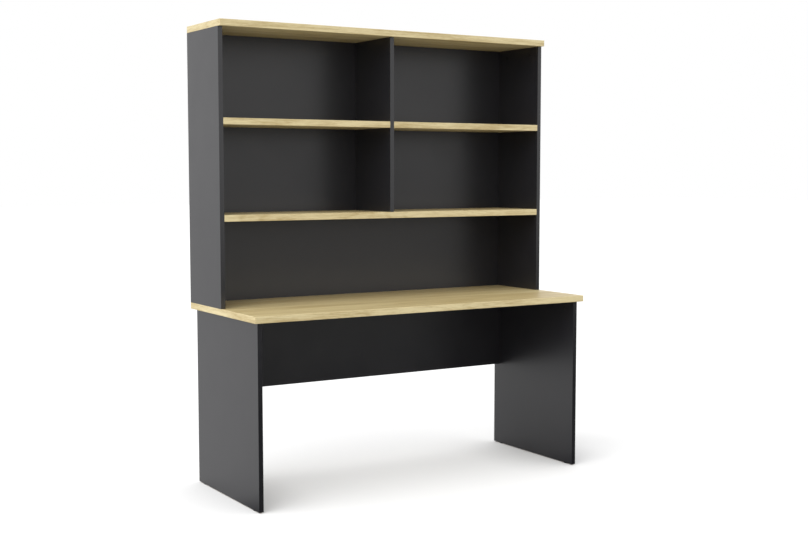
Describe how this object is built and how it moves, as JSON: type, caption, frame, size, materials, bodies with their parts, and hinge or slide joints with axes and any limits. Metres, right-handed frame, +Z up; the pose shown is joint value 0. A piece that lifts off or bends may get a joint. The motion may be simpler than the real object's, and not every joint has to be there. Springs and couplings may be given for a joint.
{
  "type": "desk with hutch",
  "caption": "Straight panel-end office desk with an open shelving hutch on its rear half: oak-look tops and shelves, charcoal uprights, back and modesty panel, levelling feet.",
  "frame": {"origin": "on the floor under the middle of the desk top", "axes": "+X to the right as the sitter faces the desk, +Y to the rear, +Z up"},
  "size_m": [1.5, 0.6, 1.795],
  "materials": {
    "oak_board": "natural oak melamine with straight grain along the length",
    "oak_band": "oak-print edge band, satin",
    "charcoal_board": "charcoal melamine with a fine pearl texture",
    "charcoal_band": "charcoal edge band, satin",
    "beech": "plain fluted beech",
    "zinc": "die-cast zinc",
    "steel": "zinc-plated steel",
    "charcoal_plastic": "moulded charcoal cap",
    "oak_plastic": "moulded oak-coloured cap",
    "black_plastic": "moulded black pad"
  },
  "bodies": {
    "desk": {"desk_top": "oak_board", "desk_top_front_edge": "oak_band", "desk_top_rear_edge": "oak_band", "desk_top_left_edge": "oak_band", "desk_top_right_edge": "oak_band", "hutch_top": "oak_board", "hutch_top_front_edge": "oak_band", "hutch_top_rear_edge": "oak_band", "hutch_top_left_edge": "oak_band", "hutch_top_right_edge": "oak_band", "long_shelf": "oak_board", "long_shelf_front_edge": "oak_band", "upper_left_shelf": "oak_board", "upper_left_shelf_front_edge": "oak_band", "upper_right_shelf": "oak_board", "upper_right_shelf_front_edge": "oak_band", "left_end_panel": "charcoal_board", "left_end_panel_front_edge": "charcoal_band", "left_end_panel_rear_edge": "charcoal_band", "right_end_panel": "charcoal_board", "right_end_panel_front_edge": "charcoal_band", "right_end_panel_rear_edge": "charcoal_band", "hutch_left_side": "charcoal_board", "hutch_left_side_front_edge": "charcoal_band", "hutch_left_side_rear_edge": "charcoal_band", "hutch_right_side": "charcoal_board", "hutch_right_side_front_edge": "charcoal_band", "hutch_right_side_rear_edge": "charcoal_band", "hutch_divider": "charcoal_board", "hutch_divider_front_edge": "charcoal_band", "modesty_panel": "charcoal_board", "modesty_panel_bottom_edge": "charcoal_band", "hutch_back_panel": "charcoal_board", "desk_cam_locks": "zinc", "hutch_cam_locks": "zinc", "desk_cam_bolts": "steel", "hutch_cam_bolts": "steel", "divider_double_bolts": "steel", "desk_dowels": "beech", "hutch_dowels": "beech", "desk_cam_covers": "charcoal_plastic", "hutch_dark_cam_covers": "charcoal_plastic", "hutch_oak_cam_covers": "oak_plastic", "back_panel_screws": "steel", "divider_screws": "steel", "hutch_fixing_screws": "steel", "foot_inserts": "zinc"},
    "front_left_foot": {"front_left_foot": "black_plastic", "front_left_foot_stud": "steel"},
    "rear_left_foot": {"rear_left_foot": "black_plastic", "rear_left_foot_stud": "steel"},
    "front_right_foot": {"front_right_foot": "black_plastic", "front_right_foot_stud": "steel"},
    "rear_right_foot": {"rear_right_foot": "black_plastic", "rear_right_foot_stud": "steel"}
  },
  "joints": [
    {"name": "front_left_foot_height", "type": "slide", "parent": "desk", "child": "front_left_foot", "axis": [0, 0, -1], "range_m": [0, 0.01]},
    {"name": "rear_left_foot_height", "type": "slide", "parent": "desk", "child": "rear_left_foot", "axis": [0, 0, -1], "range_m": [0, 0.01]},
    {"name": "front_right_foot_height", "type": "slide", "parent": "desk", "child": "front_right_foot", "axis": [0, 0, -1], "range_m": [0, 0.01]},
    {"name": "rear_right_foot_height", "type": "slide", "parent": "desk", "child": "rear_right_foot", "axis": [0, 0, -1], "range_m": [0, 0.01]}
  ]
}
